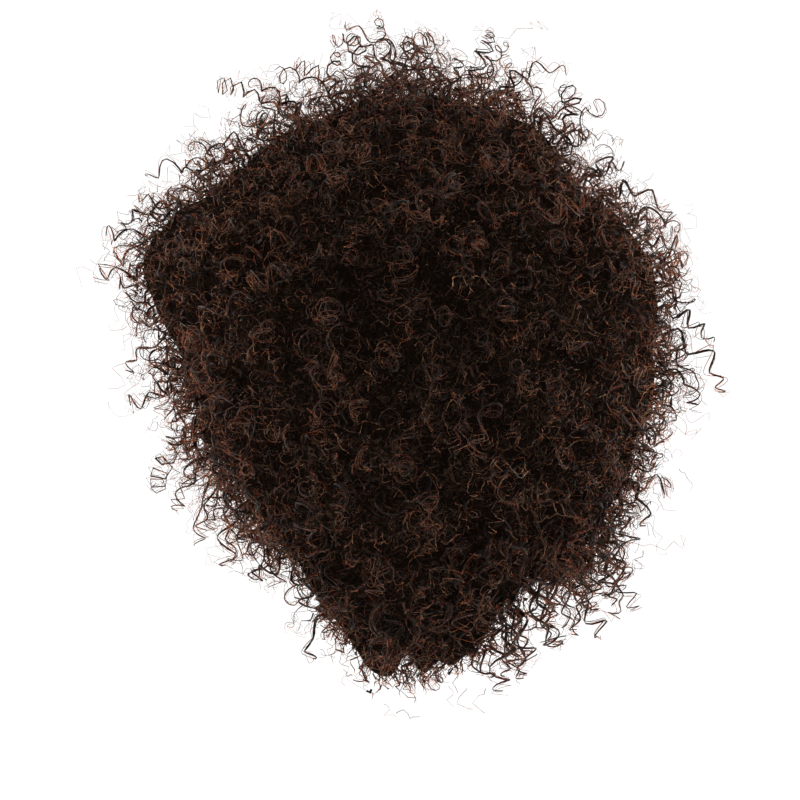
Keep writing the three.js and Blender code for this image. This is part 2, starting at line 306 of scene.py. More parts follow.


# Colour by the way along the strand, times its tone and three noises: painted glints, patches and streaks.
def coilyHair(name, look):
    material, tree = newMaterial(name)
    place = addNode(tree, "ShaderNodeTexCoord").outputs["Object"]
    along = addNode(tree, "ShaderNodeAttribute", attribute_name="along").outputs["Fac"]
    tone = addNode(tree, "ShaderNodeAttribute", attribute_name="tone").outputs["Fac"]
    # The ramp's lighter tip is painted highlight, and its reddish middle partly a painted edge glow.
    ramp = addNode(tree, "ShaderNodeValToRGB", {"Fac": along})
    stops = ramp.color_ramp.elements
    stops[0].position, stops[0].color = 0.0, linear(look["root"])
    stops[1].position, stops[1].color = 1.0, linear(look["tip"])
    stops.new(hairShade["middleAt"]).color = linear(look["middle"])
    lightness = spanOf(tree, tone, (0, 1), look["tone"])
    factors = [spanOf(tree, tone, (hairShade["undyedOver"], 1), (1, look["undyed"]))]
    across = addNode(tree, "ShaderNodeAttribute", attribute_name="across").outputs["Fac"]
    onStrand = addNode(tree, "ShaderNodeCombineXYZ", {"X": across, "Y": along, "Z": tone}).outputs[0]
    streak = addNode(
        tree, "ShaderNodeVectorMath", {0: onStrand, 1: hairShade["streaks"]}, operation="MULTIPLY",
    ).outputs[0]
    # The glint noise is painted highlight; patches and streaks are the hair's own light and dark.
    patterns = [
        (place, 1 / (hairShade["glintMm"] * metresPerMm), hairShade["glint"]),
        (place, 1 / (hairShade["patchMm"] * metresPerMm), hairShade["patch"]),
        (streak, 1, hairShade["streak"]),
    ]
    for vector, scale, limits in patterns:
        noise = noiseOf(tree, vector, scale, hairShade["detail"])
        factors.append(spanOf(tree, noise, hairShade["span"], limits))
    for factor in factors:
        lightness = mathOf(tree, "MULTIPLY", lightness, factor)
    colour = addNode(tree, "ShaderNodeHueSaturation", {"Color": ramp.outputs["Color"], "Value": lightness})
    closeMaterial(tree, {
        "Base Color": colour.outputs["Color"],
        "Roughness": look["roughness"],
        "IOR": hairIor,
        "Specular IOR Level": look["specular"],
        "Subsurface Weight": 1.0,
        "Subsurface Radius": hairShade["under"],
        "Subsurface Scale": look["underMm"] * metresPerMm,
    })
    return material


# The same hair packed into a mass: short squiggles of hair that lie over each other, with painted shade
# between them. A hair is about 0.08 mm wide, so each squiggle stands for a thin group of hairs that shows
# in the render. Each size in curlMm is a layer, darker than the last, as painted shade for the layers that
# lie deeper. Gaps break the squiggles, brokenBy of them to a curl.
massLook = {
    "gapShade": "#0b0705", "strand": "#281c15", "light": "#3d2e25", "curlMm": (9, 7.5, 6.3, 5.3, 4.5, 3.8),
    "levels": 4.5, "lineFrom": 0.72, "deepest": 0.45, "layerApart": np.array([0.7, 0.3, 0.5]),
    "detail": 0.6, "distortion": 0.5, "brokenBy": 0.6, "brokenDetail": 1.0, "broken": (0.42, 0.6),
    "patchMm": 34, "patchDetail": 3.0, "patch": (0.35, 0.7), "bumpMm": 0.9, "roughness": 0.9, "specular": 0.0,
}


# A layer's squiggles are where a smooth noise passes one of some even levels, so they bend and close to
# loops. Their light is the largest of the layers', and goes from the painted gap shade to the hair's colour.
def packedHair():
    material, tree = newMaterial("humanHairPacked")
    place = addNode(tree, "ShaderNodeTexCoord").outputs["Object"]
    strands = None
    lastLayer = len(massLook["curlMm"]) - 1
    for number, curlMm in enumerate(massLook["curlMm"]):
        perMetre = 1 / (curlMm * metresPerMm)
        shift = tuple(number * massLook["layerApart"])
        apart = addNode(tree, "ShaderNodeVectorMath", {0: place, 1: shift}, operation="ADD").outputs[0]
        curls = noiseOf(tree, apart, perMetre, massLook["detail"], massLook["distortion"])
        wave = mathOf(tree, "PINGPONG", mathOf(tree, "MULTIPLY", curls, massLook["levels"]), 0.5)
        # Each deeper layer is painted darker, as shade.
        most = 1 - (1 - massLook["deepest"]) * number / lastLayer
        onLine = (massLook["lineFrom"] / 2, 0.5)
        lines = spanOf(tree, wave, onLine, (0, most), interpolation_type="SMOOTHSTEP")
        broken = noiseOf(tree, apart, massLook["brokenBy"] * perMetre, massLook["brokenDetail"])
        part = mathOf(tree, "MULTIPLY", lines, spanOf(tree, broken, massLook["broken"]))
        strands = part if strands is None else mathOf(tree, "MAXIMUM", strands, part)
    patches = noiseOf(tree, place, 1 / (massLook["patchMm"] * metresPerMm), massLook["patchDetail"])
    patch = spanOf(tree, patches, massLook["patch"])
    hair = mixOf(tree, patch, linear(massLook["strand"]), linear(massLook["light"]))
    # Painted shade between the squiggles.
    colour = mixOf(tree, strands, linear(massLook["gapShade"]), hair)
    relief = {"Height": strands, "Strength": 1.0, "Distance": massLook["bumpMm"] * metresPerMm}
    closeMaterial(tree, {
        "Base Color": colour,
        "Roughness": massLook["roughness"],
        "IOR": hairIor,
        "Specular IOR Level": massLook["specular"],
        "Normal": addNode(tree, "ShaderNodeBump", relief).outputs["Normal"],
    })
    return material


# The cap's grid, its wefts and its bound rim. outerRise is the part of a ridge that shows on the outside,
# under the hair, and ridges fade out within fadeShare of the crown.
capNet = {
    "columns": 96, "rows": 60, "weftMm": 12, "weftWide": 1.6, "weftRise": 0.35,
    "bandShare": 0.94, "bandRise": 0.5, "outerRise": 0.3, "fadeShare": 0.125,
}
# Stretch net of fine nylon, warp knitted: a dark dull mesh with rows of sewn wefts. Its real mesh of about
# 1 mm is too fine to show, so it is drawn coarser.
netLook = {
    "thread": "#4d4038", "hole": "#1a1310", "weft": "#0e0907", "meshMm": 2.6, "threadTo": 0.25, "softMm": 0.5,
    "bump": 0.6, "bumpMm": 0.4, "roughness": 0.8, "ior": 1.53,
}


# Threads are the borders of cells, dark in between, and wefts lie at even heights.
def stretchNet():
    material, tree = newMaterial("nylonStretchNet")
    place = addNode(tree, "ShaderNodeTexCoord").outputs["Object"]
    cells = {"Vector": place, "Scale": 1 / (netLook["meshMm"] * metresPerMm)}
    holes = addNode(tree, "ShaderNodeTexVoronoi", cells, feature="DISTANCE_TO_EDGE").outputs["Distance"]
    shade = spanOf(tree, holes, (0, netLook["threadTo"]))
    net = mixOf(tree, shade, linear(netLook["thread"]), linear(netLook["hole"]))
    height = addNode(tree, "ShaderNodeSeparateXYZ", {0: place}).outputs["Z"]
    toWeft = mathOf(tree, "PINGPONG", height, capNet["weftMm"] / 2 * metresPerMm)
    weftFrom = capNet["weftMm"] / 2 - capNet["weftWide"]
    weft = spanOf(tree, toWeft, (weftFrom * metresPerMm, (weftFrom + netLook["softMm"]) * metresPerMm))
    colour = mixOf(tree, weft, net, linear(netLook["weft"]))
    relief = {"Height": shade, "Strength": netLook["bump"], "Distance": netLook["bumpMm"] * metresPerMm}
    closeMaterial(tree, {
        "Base Color": colour,
        "Roughness": netLook["roughness"],
        "IOR": netLook["ior"],
        "Normal": addNode(tree, "ShaderNodeBump", relief, invert=True).outputs["Normal"],
    })
    return material


# Puts a finished piece on the wig: its body and its material, and hides the nodes that it stands for.
def settle(piece, material, slot, *nodes):
    piece.data.materials.append(material)
    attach(piece, "root")
    if nodes:
        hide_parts(*nodes)


ringletMaterial = coilyHair("humanHairCoily", ringletLook)
frizzMaterial = coilyHair("humanHairFrizz", frizzLook)
massMaterial = packedHair()
netMaterial = stretchNet()
print("materials made")


# The cap: one wall with the wefts as low ridges across it, each at one height, and a thicker bound rim.
# A ridge is the rise times the part of a cosine wave of the drop that is below zero.
def capSurface(azimuth, share, offset):
    polar = share * rimPolar(azimuth)
    drop = hollow["half"][2] * (1 - np.cos(np.radians(polar)))
    ridge = capNet["weftRise"] * np.maximum(0, -np.cos(2 * np.pi * drop / capNet["weftMm"]))
    band = capNet["bandRise"] * (share > capNet["bandShare"])
    side = -1 if offset == 0 else capNet["outerRise"]
    raised = side * np.maximum(ridge, band) * np.minimum(1, share / capNet["fadeShare"])
    grown = hollow["half"] + (offset + raised)[..., None]
    return direction(azimuth, polar) * grown + hollowMiddle


cap = makeLayer(
    "capNet",
    np.linspace(0, 360, capNet["columns"], endpoint=False),
    np.linspace(0, 1, capNet["rows"] + 1),
    lambda azimuth, share: capSurface(azimuth, share, 0),
    lambda azimuth, share: capSurface(azimuth, share, hollow["capWall"]),
    True,
)
settle(cap, netMaterial, "cap_net", "cap")
print("cap made")

# Locks of curls, spread by the golden angle at the same places as in the solids.
lock = {"count": 180, "widestPolar": 162, "crowding": 1.1, "rise": 15, "curl": (6, 12), "turns": (0.7, 1.2)}
# Steps that never fall into step with each other, so that curl, turns and phase are spread over the locks.
spreads = [0.7548776662, 0.569840291, 0.8191725134]


# The value at a share of the way from the first limit to the last.
def between(limits, share):
    return limits[0] + (limits[1] - limits[0]) * share


# Polar angle down to which a cap holds a share of the hair's area: the arc cosine of 1 - s (1 - cos widest).
def polarByArea(share):
    return np.degrees(np.arccos(1 - share * (1 - math.cos(math.radians(lock["widestPolar"])))))


# Place and growth of every lock, as arrays: the same formulas as the solids' locks.
def growLocks():
    number = np.arange(lock["count"])
    azimuth = number * goldenAngle % 360
    share = polarByArea(((number + 0.5) / lock["count"]) ** lock["crowding"]) / hemPolar(azimuth)
    kept = share < 1
    azimuth, share = azimuth[kept], share[kept]
    curl, turns, phase = [(number * spread % 1)[kept] for spread in spreads]
    surface = hairOutside(azimuth, share, lock["rise"])
    outward = unit(surface - hairInside(azimuth, share))
    across = unit(np.cross(outward, askew))
    return {
        "surface": surface, "outward": outward, "across": across, "aside": np.cross(outward, across),
        "curl": between(lock["curl"], curl), "turns": between(lock["turns"], turns),
        "phase": 2 * np.pi * phase,
    }


locks = growLocks()
lockWays = unit(locks["surface"] - hollowMiddle)
print("locks placed:", len(lockWays))

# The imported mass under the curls, swelling under each lock. It thins from thinFrom of the way to the hem, and
# from tuftFrom it goes up and down in tufts: up by tuftUp or hangShare of what hangs there, down by tuftDown.
mass = {
    "columnStep": 2.5, "rows": 64, "thinFrom": 0.88, "thinBy": 9, "swell": 4, "swellDegrees": 7.5,
    "lumpMm": 22, "lump": 4, "lumpSeed": 3, "tuftFrom": 0.8, "tuftMm": 13, "tuftUp": 26, "tuftDown": 11,
    "tuftBias": 0.35, "hangShare": 0.5, "tuftSeed": 5,
}
# How far the mass lies under the reach: deepest at the crown, where the hair is loose.
massDepth = {
    "polar": [0, 30, 60, 90, 120, 160],
    "front": [31, 25, 22, 22, 22, 19],
    "left": [31, 23, 21, 25, 30, 24],
    "back": [31, 25, 22, 22, 18, 10],
    "right": [31, 23, 21, 21, 18, 10],
}


# A bell round the nearest lock, 1 at its middle: e to the minus square of the angle over swellDegrees.
# The angles are taken a block of directions at a time.
def lockBell(ways):
    flat = ways.reshape(-1, 3)
    blocks = np.array_split(flat, max(1, len(flat) // 4000))
    cosines = np.concatenate([(block @ lockWays.T).max(-1) for block in blocks]).reshape(ways.shape[:-1])
    degrees = np.degrees(np.arccos(np.clip(cosines, -1, 1)))
    return np.exp(-((degrees / mass["swellDegrees"]) ** 2))


# Square of the way to the hem from a first share on.
def nearHem(share, first):
    return (np.maximum(0, share - first) / (1 - first)) ** 2


# Depth less the swellings, a bell round each lock and noise, and more as the hem thins out.
def massInset(azimuth, share):
    polar = share * hemPolar(azimuth)
    way = direction(azimuth, polar)
    swell = mass["swell"] * lockBell(way)
    place = way * readSides(reach, azimuth, polar)[..., None]
    lumps = mass["lump"] * cellNoise(place, mass["lumpMm"], mass["lumpSeed"])
    thin = mass["thinBy"] * nearHem(share, mass["thinFrom"])
    return readSides(massDepth, azimuth, polar) - swell - lumps + thin


# The mass's outer side.
def massOutside(azimuth, share):
    return hairOutside(azimuth, share, massInset(azimuth, share))


# Tufts at the hem: noise less a bias moves both sides down or up, by the square of the way to the hem.
def hemTufts(azimuth, share):
    noise = cellNoise(hairInside(azimuth, np.ones_like(share)), mass["tuftMm"], mass["tuftSeed"])
    noise = noise - mass["tuftBias"]
    free = mass["hangShare"] * readColumn(edge, "azimuth", "hang", foldAzimuth(azimuth))
    shift = np.where(noise > 0, mass["tuftDown"], np.minimum(mass["tuftUp"], free)) * noise
    return (shift * nearHem(share, mass["tuftFrom"]))[..., None] * down


# The mass of one section: a layer between the hair's inner side and the mass's outer side, both with tufts.
def makeMass(section):
    steps = round((section["azTo"] - section["azFrom"]) / mass["columnStep"])
    rows = round((section["to"] - section["from"]) * mass["rows"])
    whole = section["azTo"] - section["azFrom"] >= 360
    azimuths = np.linspace(section["azFrom"], section["azTo"], steps + 1)
    piece = makeLayer(
        section["name"] + "Mass",
        azimuths[:-1] if whole else azimuths,
        np.linspace(section["from"], section["to"], rows + 1),
        lambda azimuth, share: hairInside(azimuth, share) + hemTufts(azimuth, share),
        lambda azimuth, share: massOutside(azimuth, share) + hemTufts(azimuth, share),
        whole,
    )
    settle(piece, massMaterial, "hair", section["node"])


for section in sections:
    makeMass(section)
print("packed hair made")


# Number of the section that holds each place.
def sectionIndex(azimuth, share):
    index = np.zeros(np.shape(azimuth), int)
    for number, section in enumerate(sections):
        turned = np.where(azimuth > section["azTo"], azimuth - 360, azimuth)
        inside = (turned >= section["azFrom"]) & (turned < section["azTo"])
        index = np.where(inside & (share >= section["from"]) & (share < section["to"]), number, index)
    return index


# Kinds of strand, in millimetres. rise is the tip's height over the reach and bias how many stay short, pull
# how far tips are drawn to the nearest lock, bend the degrees that they turn over, sag the droop as a share
# of the height at crown and hem, and wander how far they stray from their arc. pitch and coil are step and
# radius of the corkscrew, width and thick half sizes at the root, and tip the share of them left at the tip.
# tone goes from dark to light. strays is the number of thinner strands beside each, and loose how far off.
shortRinglets = {
    "count": 500, "points": 17, "rise": (-14, 8), "bias": 1.0, "pull": 0.5, "bend": (40, 120),
    "sag": (0.04, 0.42), "wander": 3, "pitch": (12, 19), "coil": (2.8, 4.8), "width": (0.4, 0.75),
    "thick": (0.3, 0.55), "tip": 0.25, "tone": (0, 0.5), "strays": 1, "loose": 1.0,
}
longRinglets = {
    "count": 580, "points": 33, "rise": (-4, 20), "bias": 1.0, "pull": 0.6, "bend": (30, 110),
    "sag": (0.04, 0.42), "wander": 6, "pitch": (13, 21), "coil": (3.2, 5.2), "width": (0.8, 1.4),
    "thick": (0.6, 1.05), "tip": 0.28, "tone": (0.1, 0.9), "strays": 2, "loose": 0.7,
}
fineCurls = {
    "count": 800, "points": 18, "rise": (-6, 20), "bias": 1.0, "pull": 0.3, "bend": (20, 120),
    "sag": (0.04, 0.42), "wander": 5, "pitch": (14, 22), "coil": (2.8, 5.0), "width": (0.13, 0.26),
    "thick": (0.12, 0.2), "tip": 0.5, "tone": (0, 1), "strays": 0,
}
flyaways = {
    "count": 160, "points": 24, "rise": (6, 26), "bias": 1.4, "pull": 0.0, "bend": (10, 90),
    "sag": (0.0, 0.35), "wander": 8, "pitch": (24, 36), "coil": (4.0, 7.0), "width": (0.1, 0.18),
    "thick": (0.1, 0.18), "tip": 0.6, "tone": (0, 1), "strays": 0,
}
# Thinner strands wound beside a ringlet, in step with it: a ringlet is a bundle that parts towards its tip.
# rootApart is the part of the gap that is there at the root, and flat the thickness as a share of the width.
strays = {
    "apart": 1.8, "rootApart": 0.4, "outOfStep": 0.4, "turns": (0.96, 1.04), "coil": (0.75, 1.35),
    "width": (0.2, 0.4), "flat": 0.7, "tip": 0.45, "toneApart": 0.18,
}
# How strands are spread and grow, for all kinds.
growth = {
    "strandsTo": 0.93,  # below this share of the way to the hem, ringlets hang instead
    "crowding": 1.32,  # over 1 puts more strands towards the crown
    "jitter": 3,  # degrees that places are off the golden angle
    "rootDepth": 3,  # roots start this far under the mass
    "leastHeight": 12,
    "leastTurns": 1.3,
    "leanMm": 24,  # neighbours within this distance lean alike
    "scatter": 0.5,  # how strongly each strand leans its own way
    "fall": 0.8,  # how strongly strands bend over downwards
    "lockRise": 12,  # strands in the middle of a lock stand this much higher, those between locks lower
    "lockCurl": 0.6,  # share of a lock's own corkscrew that its strands follow
    "pullPower": 1.3,  # over 1 draws strands to the lock later on their way
    "ringEnd": 0.22,  # share of the way that the ring at the tip takes up
    "wanderAngle": 1.5 * np.pi,  # strands wander out and back over three quarters of a wave
}
# The corkscrew: where along the strand it may turn the other way, how softly it turns, how fast it opens, its
# taper, and how its angle and radius sway with waves along it, each with a speed and a part of the phase.
corkscrew = {
    "turnBack": (-1.2, 0.9), "softTurn": 0.003, "opening": 0.1, "taper": 0.8,
    "angleSway": 0.8, "angleWave": (8, 5), "radiusSway": 0.4, "radiusWave": (6, 3),
}
# How far the tips stand out over the reach, or fall short of it, by side.
lift = {
    "polar": [0, 35, 52, 70, 100, 125, 160],
    "front": [3, 1, 0, 0, 0, 0, 0],
    "left": [4, 4, 2, -6, -4, -8, -8],
    "back": [3, 1, -4, -4, -3, 0, 0],
    "right": [4, 4, 2, -5, -5, -2, 3],
}


# Even random values between two limits.
def pick(rng, limits, count):
    return between(limits, rng.random(count))


# Where a strand's corkscrew starts, where it turns back, and which way is across.
def newCoil(count, rng):
    return {
        "phase": pick(rng, (0, 2 * np.pi), count),
        "turnBack": pick(rng, corkscrew["turnBack"], count),
        "sway": unit(rng.normal(0, 1, (count, 3))),
    }


# The way along strands, slowing at the end so that the tip makes a ring: s - e s^5.
def ringWay(points):
    along = np.linspace(0, 1, points)[None, :, None]
    return along - growth["ringEnd"] * along ** 5


# Tubes of three sides wound round middle lines: the line plus the coil's radius times a unit vector that
# turns across it. The coil opens from the root, and may turn the other way after a share of the strand.
def windStrands(line, turns, radius, coil, width, thick, tip):
    share = np.linspace(0, 1, line.shape[1])[None]
    phase = coil["phase"][:, None]
    ahead = unit(np.gradient(line, axis=1))
    first = unit(np.cross(ahead, coil["sway"][:, None]))
    second = np.cross(ahead, first)
    fromTurn = np.sqrt((share - coil["turnBack"][:, None]) ** 2 + corkscrew["softTurn"])
    waves = (corkscrew["angleWave"], corkscrew["radiusWave"])
    sway = [np.sin(speed * share + part * phase) for speed, part in waves]
    angle = phase + 2 * np.pi * turns[:, None] * fromTurn + corkscrew["angleSway"] * sway[0]
    out = np.cos(angle)[..., None] * first + np.sin(angle)[..., None] * second
    opened = (1 - np.exp(-share / corkscrew["opening"])) * (1 + corkscrew["radiusSway"] * sway[1])
    middle = line + out * (radius[:, None] * opened)[..., None]
    forward = unit(np.gradient(middle, axis=1))
    over = unit(level(out, forward))
    beside = np.cross(forward, over)
    taper = tip + (1 - tip) * (1 - share) ** corkscrew["taper"]
    corner = 2 * np.pi * np.arange(3) / 3
    rings = np.cos(corner)[:, None] * (over * (thick[:, None] * taper)[..., None])[:, :, None]
    rings = rings + np.sin(corner)[:, None] * (beside * (width[:, None] * taper)[..., None])[:, :, None]
    return middle[:, :, None] + rings


# Strays beside the strands: the same line and corkscrew, a little apart and out of step.
def strayStrands(line, turns, radius, coil, tone, index, kind, rng):
    chosen = np.repeat(np.arange(len(line)), kind["strays"])
    count = len(chosen)
    along = np.linspace(0, 1, line.shape[1])[None, :, None]
    apart = kind["loose"] * strays["apart"] * rng.normal(0, 1, (count, 1, 3)) * (strays["rootApart"] + along)
    near = {label: values[chosen] for label, values in coil.items()}
    near["phase"] = near["phase"] + kind["loose"] * rng.normal(0, strays["outOfStep"], count)
    width = pick(rng, strays["width"], count)
    rings = windStrands(
        line[chosen] + apart, turns[chosen] * pick(rng, strays["turns"], count),
        radius[chosen] * pick(rng, strays["coil"], count), near, width, strays["flat"] * width, strays["tip"],
    )
    shade = np.clip(tone[chosen] + rng.normal(0, strays["toneApart"], count), 0, 1)
    return rings, shade, index[chosen]


# Even places over the hair: polar angles by equal areas, azimuths by the golden angle.
def spreadPlaces(count, last, rng):
    order = ((np.arange(count) + rng.random(count)) / count) ** growth["crowding"]
    azimuth = (np.arange(count) * goldenAngle + rng.normal(0, growth["jitter"], count)) % 360
    share = polarByArea(order) / hemPolar(azimuth)
    kept = share < last
    return azimuth[kept], share[kept]


# Three noises as one vector, so that neighbours lean alike.
def noiseVector(points, cell):
    return np.stack([cellNoise(points, cell, seed) for seed in (11, 12, 13)], -1)


# Strands grown from the mass: an arc that turns over at their height, drawn to the nearest lock with its
# corkscrew, a sag that grows with the square of the way, and a wave across it.
def growStrands(kind, rng):
    azimuth, share = spreadPlaces(kind["count"], growth["strandsTo"], rng)
    count = len(share)
    inset = massInset(azimuth, share) + growth["rootDepth"]
    root = hairOutside(azimuth, share, inset)
    ownWay = unit(root - hairInside(azimuth, share))
    rootWay = unit(root - hollowMiddle)
    nearest = (rootWay @ lockWays.T).argmax(-1)
    near = {label: values[nearest] for label, values in locks.items()}
    pull = kind["pull"] * np.sqrt(rng.random(count))
    outward = unit(ownWay * (1 - pull)[:, None] + near["outward"] * pull[:, None])
    rise = between(kind["rise"], rng.random(count) ** kind["bias"])
    rise = rise + readSides(lift, azimuth, share * hemPolar(azimuth))
    rise = rise + growth["lockRise"] * (2 * lockBell(rootWay) - 1)
    height = np.maximum(inset + rise, growth["leastHeight"])
    gap = level(root - near["surface"], near["outward"])
    aside = rng.normal(0, growth["scatter"], (count, 3)) + noiseVector(root, growth["leanMm"])
    aside = unit(level(aside + growth["fall"] * down, outward))
    bend = np.radians(pick(rng, kind["bend"], count))
    arc = height / np.sin(np.minimum(bend, np.pi / 2))
    sag = height * between(kind["sag"], share)
    way = ringWay(kind["points"])
    twist = 2 * np.pi * near["turns"][:, None, None] * way + near["phase"][:, None, None]
    swing = near["across"][:, None] * np.cos(twist) + near["aside"][:, None] * np.sin(twist)
    line = (
        root[:, None]
        + outward[:, None] * arc[:, None, None] * np.sin(bend[:, None, None] * way)
        + aside[:, None] * arc[:, None, None] * (1 - np.cos(bend[:, None, None] * way))
        - gap[:, None] * pull[:, None, None] * way ** growth["pullPower"]
        + swing * (growth["lockCurl"] * near["curl"] * pull)[:, None, None] * way
        + down * sag[:, None, None] * way ** 2
        + kind["wander"] * unit(rng.normal(0, 1, (count, 1, 3))) * np.sin(growth["wanderAngle"] * way)
    )
    turns = np.maximum(arc * bend / pick(rng, kind["pitch"], count), growth["leastTurns"])
    width = pick(rng, kind["width"], count)
    thick = pick(rng, kind["thick"], count)
    radius = pick(rng, kind["coil"], count)
    coil = newCoil(count, rng)
    index = sectionIndex(azimuth, share)
    tone = pick(rng, kind["tone"], count)
    grown = [(windStrands(line, turns, radius, coil, width, thick, kind["tip"]), tone, index)]
    if kind["strays"]:
        grown.append(strayStrands(line, turns, radius, coil, tone, index, kind, rng))
    return grown


# Frizz: short open loops that lie in the outer hair in every direction, broad and dark close to the mass and
# fine over it; the darker tones of the loops close to the mass are painted shade. over is the height
# above the mass, bias how many stay low, and apart the share of that height between locks; in the middle
# of a lock the share is onLock.
frizz = {"onLock": 1.3, "outward": 0.4, "fall": 0.5, "hemCrowding": 1.1}
# Its low tones are painted shade, for loops that lie close to the mass.
nearFrizz = {
    "count": 5200, "points": 6, "over": (-2, 14), "bias": 1.5, "apart": 0.75,
    "length": (8, 16), "turns": (0.5, 1.0), "coil": (2.0, 3.6), "width": (0.7, 1.2), "thick": (0.24, 0.4),
    "tip": 0.2, "tone": (0.0, 0.5),
}
looseFrizz = {
    "count": 3500, "points": 8, "over": (2, 28), "bias": 1.3, "apart": 0.5,
    "length": (7, 17), "turns": (0.7, 1.4), "coil": (2.2, 4.4), "width": (0.14, 0.3), "thick": (0.12, 0.24),
    "tip": 0.6, "tone": (0.0, 1.0),
}
# On the hem: share is how far down, depth how far from the inner to the outer side, lean how far off straight
# down, and outward how far out. hemCrowding over 1 puts more of it to the back.
hemFrizz = {
    "count": 1200, "points": 7, "share": (0.95, 1.0), "depth": (0.0, 1.0), "lean": 0.6, "outward": 0.0,
    "length": (9, 24), "turns": (0.7, 1.4), "coil": (2.0, 4.0), "width": (0.3, 0.6), "thick": (0.2, 0.35),
    "tip": 0.4, "tone": (0.0, 0.7),
}
hemTuftFrizz = {
    "count": 1100, "points": 6, "share": (0.92, 1.01), "depth": (0.0, 1.04), "lean": 0.7, "outward": 0.2,
    "length": (9, 18), "turns": (0.5, 1.0), "coil": (2.0, 3.6), "width": (0.6, 1.1), "thick": (0.24, 0.4),
    "tip": 0.2, "tone": (0.0, 0.5),
}
innerFrizz = {
    "count": 800, "points": 6, "share": (0.8, 1.0), "depth": (0.05, -0.03), "lean": 0.7, "outward": -0.4,
    "length": (9, 18), "turns": (0.5, 1.0), "coil": (2.0, 3.6), "width": (0.5, 0.9), "thick": (0.24, 0.4),
    "tip": 0.2, "tone": (0.0, 0.5),
}


# Short strands along straight lines from the roots, each with its own corkscrew.
def frizzLoops(root, lean, kind, rng):
    count = len(root)
    along = np.linspace(0, 1, kind["points"])[None, :, None]
    line = root[:, None] + lean[:, None] * pick(rng, kind["length"], count)[:, None, None] * along
    turns, coil, width, thick, tone = (
        pick(rng, kind[label], count) for label in ("turns", "coil", "width", "thick", "tone")
    )
    return windStrands(line, turns, coil, newCoil(count, rng), width, thick, kind["tip"]), tone


# Frizz roots stand at even places over the mass, and the loops lean any way from there.
def growFrizz(kind, rng):
    azimuth, share = spreadPlaces(kind["count"], 1, rng)
    count = len(share)
    inset = massInset(azimuth, share)
    bell = lockBell(direction(azimuth, share * hemPolar(azimuth)))
    over = between(kind["over"], rng.random(count) ** kind["bias"])
    over = over * between((kind["apart"], frizz["onLock"]), bell)
    root = hairOutside(azimuth, share, inset - over)
    outward = unit(root - hairInside(azimuth, share))
    lean = unit(rng.normal(0, 1, (count, 3)) + frizz["outward"] * outward + frizz["fall"] * down)
    return [(*frizzLoops(root, lean, kind, rng), sectionIndex(azimuth, share))]


# Frizz on the hem: roots between its two sides, more of them towards the last depth, and loops that lean
# down. Azimuths go by a power of even steps to both sides from the back.
def growHem(kind, rng):
    count = kind["count"]
    even = (np.arange(count) + rng.random(count)) * 2 / count - 1
    azimuth = 180 + 180 * np.sign(even) * np.abs(even) ** frizz["hemCrowding"]
    share = pick(rng, kind["share"], count)
    inside = hairInside(azimuth, share)
    outside = massOutside(azimuth, share)
    root = inside + (outside - inside) * between(kind["depth"], 1 - rng.random((count, 1)) ** 2)
    lean = unit(down + kind["lean"] * rng.normal(0, 1, (count, 3)) + kind["outward"] * unit(outside - inside))
    return [(*frizzLoops(root, lean, kind, rng), sectionIndex(azimuth, share))]


# Hanging ringlets along the hem, longest at the back. crowd is how closely they stand by azimuth, vary their
# share of the length there, splay how far out they lean, stray how far any way, and most the limit of that.
hanging = {
    "count": 225, "points": 38,
    "azimuth": [0, 45, 90, 120, 142, 165, 195, 218, 240, 270, 315, 360],
    "length": [10, 20, 42, 56, 78, 60, 62, 100, 92, 54, 20, 10],
    "crowd": [4, 9, 16, 26, 64, 60, 58, 92, 72, 22, 10, 4],
    "vary": (0.55, 1.0), "share": (0.76, 0.94), "splay": 0.3, "stray": 0.2, "most": 1.5, "wander": 4,
    "pitch": (18, 26), "coil": (3.2, 5.0), "width": (0.9, 1.5), "thick": (0.7, 1.15), "tip": 0.28,
    "tone": (0.1, 0.9), "strays": 2, "loose": 0.5,
}


# Roots stand between the two sides of the hem, and the lines run down and a little outward.
def growHanging(rng):
    count = hanging["count"]
    degrees = np.arange(361)
    crowd = np.cumsum(readColumn(hanging, "azimuth", "crowd", degrees))
    azimuth = np.interp((np.arange(count) + 0.5) / count, crowd / crowd[-1], degrees)
    share = pick(rng, hanging["share"], count)
    inside = hairInside(azimuth, share)
    outside = massOutside(azimuth, share)
    depth = np.sqrt(rng.random((count, 1)))
    root = inside + (outside - inside) * depth
    outward = unit(level(outside - inside, down))
    length = readColumn(hanging, "azimuth", "length", azimuth) * pick(rng, hanging["vary"], count)
    stray = hanging["stray"] * np.clip(rng.normal(0, 1, (count, 3)), -hanging["most"], hanging["most"])
    lean = unit(down + outward * (hanging["splay"] * depth) + stray)
    way = ringWay(hanging["points"])
    wander = level(np.clip(rng.normal(0, 1, (count, 1, 3)), -hanging["most"], hanging["most"]), down)
    line = root[:, None] + lean[:, None] * length[:, None, None] * way
    line = line + hanging["wander"] * wander * np.sin(growth["wanderAngle"] * way)
    pitch, coil, width, thick = (
        pick(rng, hanging[label], count) for label in ("pitch", "coil", "width", "thick")
    )
    turns = length / pitch
    wound = newCoil(count, rng)
    index = sectionIndex(azimuth, share)
    rings = windStrands(line, turns, coil, wound, width, thick, hanging["tip"])
    tone = pick(rng, hanging["tone"], count)
    return [(rings, tone, index), strayStrands(line, turns, coil, wound, tone, index, hanging, rng)]


# A strand's cell of the bake map, in shares of the cell: three rows for its sides, and its ends beside them.
bake = {
    "columns": 8, "left": 0.04, "wide": 0.92, "low": 0.05, "rowStep": 0.3, "rowTall": 0.28,
    "ends": [[[0.005, 0.1], [0.03, 0.1], [0.005, 0.8]], [[0.97, 0.1], [0.995, 0.1], [0.97, 0.8]]],
}
acrossSides = [0.5, 0, 1]  # how far across the strand its three sides are


